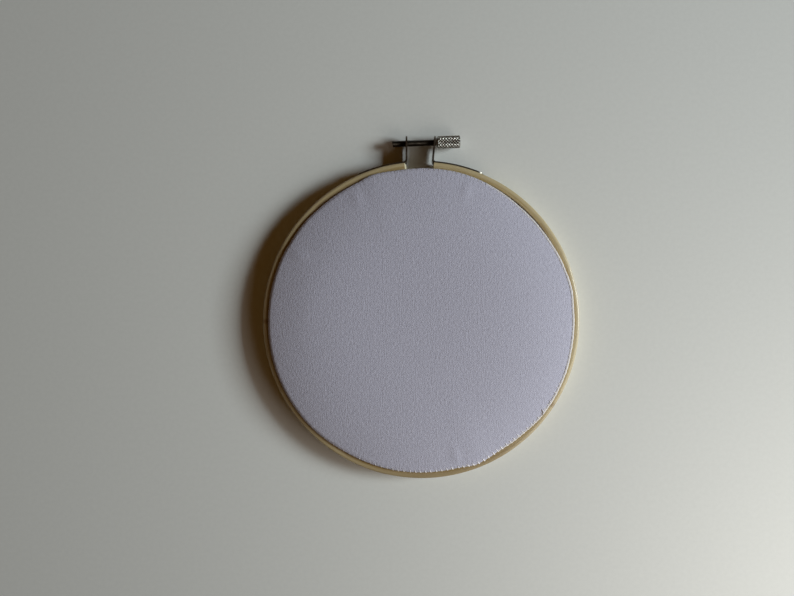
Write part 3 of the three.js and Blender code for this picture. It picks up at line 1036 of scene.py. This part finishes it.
def stage(settings):
    """A pale wall-like floor, window light from the right and the camera straight above."""
    scene = bpy.context.scene
    mesh = bpy.data.meshes.new("floor")
    corners = [(x * FLOOR_REACH, y * FLOOR_REACH, 0) for x, y in FLOOR_CORNERS]
    mesh.from_pydata(corners, [], [(0, 1, 2, 3)])
    layer = mesh.uv_layers.new(name=UV_NAME)
    layer.data.foreach_set("uv", [value for corner in corners for value in corner[:2]])
    material, tree, shader, metres = new_material("wall_paint_matt")
    # Emulsion paint, rolled on: a faint 2 mm mottle and no gloss.
    mottle = noise(tree, metres, (500, 500), 3.0)
    share = steps(tree, mottle, 0.3, 0.7)
    colour = mix_colour(tree, share, settings.floor_dark, settings.floor_light)
    matt = {"Roughness": 0.9, "Specular IOR Level": 0.2}
    set_up(tree, shader, matt, {"Base Color": colour})
    mesh.materials.append(material)
    floor = bpy.data.objects.new("floor", mesh)
    scene.collection.objects.link(floor)

    middle = (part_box("inner_hoop")[0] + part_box("inner_hoop")[1]) / 2
    add_window("window", settings.window, middle, **WINDOW)
    add_window("window_low", settings.fill, middle, **LOW_WINDOW)

    world = bpy.data.worlds.new("room")
    world.use_nodes = True
    room = {"Color": settings.room_colour, "Strength": settings.room}
    set_up(world.node_tree, world.node_tree.nodes["Background"], room)
    scene.world = world

    camera = bpy.data.objects.new("camera", bpy.data.cameras.new("camera"))
    camera.data.lens = LENS
    camera.data.sensor_width = SENSOR_WIDTH
    camera.location = CAMERA_PLACE
    scene.collection.objects.link(camera)
    scene.camera = camera
    scene.view_settings.view_transform = "Standard"


# Settings


def tone(name, description, value):
    """A colour property whose default is an sRGB hex number."""
    return bpy.props.FloatVectorProperty(
        name=name, description=description, default=linear(value), size=4, subtype="COLOR",
        min=0.0, max=1.0,
    )


def in_metres(name, description, value):
    """A length property whose default is in metres."""
    return bpy.props.FloatProperty(
        name=name, description=description, default=value, unit="LENGTH"
    )


class HoopWoodSettings(bpy.types.PropertyGroup):
    """Sizes and tones of the two bamboo rings"""

    arris: in_metres("Arris", "Radius of the sanded edges", 0.0004)
    face_round: in_metres(
        "Face rounding", "How far in the outer hoop's face is sanded round", 0.0015
    )
    face_drop: in_metres("Face drop", "How far down that rounding goes", 0.0007)
    unevenness: in_metres(
        "Unevenness", "How far bending and sanding leave the wood from true", 0.00006
    )
    skin_from: in_metres(
        "Skin from", "Way round the section where the skin starts to give way", 0.0134
    )
    skin_to: in_metres("Skin to", "Way round the section where only the flesh shows", 0.0142)
    dark_at: in_metres(
        "Darkest at", "Way round from the clamp to the cane's darkest stretch", 0.214
    )
    cane: in_metres("Cane", "Distance between two nodes of the cane", 0.19)
    pale: tone("Pale", "Palest fibre streaks", 0xCDBD95)
    gold: tone("Gold", "Golden fibre streaks", 0xB59E66)
    deep: tone("Deep", "Slow darker changes of tone", 0xA48656)
    brown: tone("Brown", "Flecks, nodes and dark stretch", 0x7F5F38)
    pith: tone("Pith", "Pith between the cut fibre bundles", 0xE2D8B6)
    # Also painted light where it covers the face's rounded outer edge.
    skin: tone("Skin", "Smooth outer skin of the cane", 0xCDBC92)


class HoopClothSettings(bpy.types.PropertyGroup):
    """The cloth's bulge, its weave and its tones"""

    crown: in_metres("Crown", "How far the cloth bulges in the middle", 0.0045)
    warp: in_metres("Warp pitch", "Distance between upright threads", 0.00062)
    weft: in_metres("Weft pitch", "Distance between level threads", 0.00058)
    relief: in_metres("Relief", "Depth of the weave", 0.00008)
    thread: tone("Threads", "Tops of the woven threads", 0xD5D4E3)
    # Painted shade in the hollows between the threads.
    hollow_shade: tone("Hollows", "Hollows between the threads", 0xB6B4C6)


class HoopStitchSettings(bpy.types.PropertyGroup):
    """The sewing thread"""

    radius: in_metres("Thread radius", "Half the thickness of the thread", 0.0002)
    white: tone("White", "Sewing thread", 0xFFFBFA)
    # Painted shade in the grooves between the strands.
    groove: tone("Groove", "Grooves between its strands", 0xE6DEDE)


class HoopClampSettings(bpy.types.PropertyGroup):
    """The straps, the screw and their plating"""

    strap: in_metres("Strap", "Thickness of the steel straps", 0.0008)
    shank: in_metres("Shank radius", "Outer radius of the screw's thread", 0.00155)
    pitch: in_metres("Thread pitch", "Distance between two turns of the thread", 0.0005)
    head: in_metres("Head radius", "Radius of the knurled head", 0.00305)
    diamonds: bpy.props.IntProperty(
        name="Diamonds", description="Diamonds of the knurl once round the head", default=11
    )
    strap_light: tone("Strap, light", "Straps' plating", 0x9A958B)
    strap_dark: tone("Strap, dark", "Its duller clouds", 0x6F6A61)
    plate_light: tone("Screw, light", "Screw's plating", 0xC8C4BC)
    plate_dark: tone("Screw, dark", "Its duller clouds", 0xA09C93)
    # Darker steel of the threaded shank and painted shade in the knurl's grooves.
    dark_shank_and_groove_shade_light: tone("Oil, light", "Oiled grooves", 0x4A4036)
    dark_shank_and_groove_shade_dark: tone("Oil, dark", "Their darker places", 0x2E2822)


class HoopStageSettings(bpy.types.PropertyGroup):
    """Lights and floor"""

    window: bpy.props.FloatProperty(
        name="Window", description="Power of the light from the right", default=32.5, unit="POWER"
    )
    fill: bpy.props.FloatProperty(
        name="Low window", description="Power of the weaker light from below", default=0.42,
        unit="POWER",
    )
    room: bpy.props.FloatProperty(
        name="Room", description="Strength of the light from all round", default=0.045
    )
    room_colour: tone("Room colour", "Light from all round", 0xFFB65A)
    floor_light: tone("Floor, light", "Wall paint", 0xE9EAE5)
    floor_dark: tone("Floor, dark", "Its darker mottle", 0xE6E7E2)


# Operators


class HOOP_OT_outer(bpy.types.Operator):
    """Make the split outer hoop"""

    bl_idname = "hoop.outer"
    bl_label = "Outer hoop"

    def execute(self, context):
        outer_hoop(context.scene.hoop_wood)
        return {"FINISHED"}


class HOOP_OT_inner(bpy.types.Operator):
    """Make the whole inner hoop"""

    bl_idname = "hoop.inner"
    bl_label = "Inner hoop"

    def execute(self, context):
        inner_hoop(context.scene.hoop_wood)
        return {"FINISHED"}


class HOOP_OT_cloth(bpy.types.Operator):
    """Make the cloth, the stitches round its rim and the thread's ends"""

    bl_idname = "hoop.cloth"
    bl_label = "Cloth and stitches"

    def execute(self, context):
        # Laid flat, the sheet is a disc of 83.8 mm radius: face, fold and margin in one.
        crown = context.scene.hoop_cloth.crown / MM
        sewn = stitches(context.scene.hoop_stitches, crown)
        sheet = cloth(context.scene.hoop_cloth)
        return {"FINISHED"}


class HOOP_OT_straps(bpy.types.Operator):
    """Make the two steel straps of the clamp"""

    bl_idname = "hoop.straps"
    bl_label = "Clamp straps"

    def execute(self, context):
        straps(context.scene.hoop_clamp)
        return {"FINISHED"}


class HOOP_OT_screw(bpy.types.Operator):
    """Make the thumb screw"""

    bl_idname = "hoop.screw"
    bl_label = "Thumb screw"

    def execute(self, context):
        screw(context.scene.hoop_clamp)
        return {"FINISHED"}


class HOOP_OT_stage(bpy.types.Operator):
    """Make the floor, the lights and the camera"""

    bl_idname = "hoop.stage"
    bl_label = "Stage"

    def execute(self, context):
        stage(context.scene.hoop_stage)
        return {"FINISHED"}


class HOOP_PT_panel(bpy.types.Panel):
    """Lists the hoop's pieces and their settings"""

    bl_label = "Embroidery hoop"
    bl_idname = "HOOP_PT_panel"
    bl_space_type = "VIEW_3D"
    bl_region_type = "UI"
    bl_category = "Hoop"

    def draw(self, context):
        for group, operators in PANEL_ROWS:
            box = self.layout.box()
            settings = getattr(context.scene, group)
            for name in settings.__annotations__:
                box.prop(settings, name)
            for operator in operators:
                box.operator(operator.bl_idname)


SETTINGS = {
    "hoop_wood": HoopWoodSettings,
    "hoop_cloth": HoopClothSettings,
    "hoop_stitches": HoopStitchSettings,
    "hoop_clamp": HoopClampSettings,
    "hoop_stage": HoopStageSettings,
}
OPERATORS = [
    HOOP_OT_stage,
    HOOP_OT_outer,
    HOOP_OT_inner,
    HOOP_OT_cloth,
    HOOP_OT_straps,
    HOOP_OT_screw,
]
PANEL_ROWS = [
    ("hoop_wood", [HOOP_OT_outer, HOOP_OT_inner]),
    ("hoop_cloth", [HOOP_OT_cloth]),
    ("hoop_stitches", []),
    ("hoop_clamp", [HOOP_OT_straps, HOOP_OT_screw]),
    ("hoop_stage", [HOOP_OT_stage]),
]


def register():
    """Adds the settings, the operators and the panel."""
    for kind in (*SETTINGS.values(), *OPERATORS, HOOP_PT_panel):
        bpy.utils.register_class(kind)
    for name, kind in SETTINGS.items():
        setattr(bpy.types.Scene, name, bpy.props.PointerProperty(type=kind))


def unregister():
    """Takes them out again."""
    for name in SETTINGS:
        delattr(bpy.types.Scene, name)
    for kind in (HOOP_PT_panel, *reversed(OPERATORS), *SETTINGS.values()):
        bpy.utils.unregister_class(kind)


def main():
    """Makes the hoop and its stage."""
    register()
    for kind in OPERATORS:
        family, name = kind.bl_idname.split(".")
        getattr(getattr(bpy.ops, family), name)()


if __name__ == "__main__":
    main()
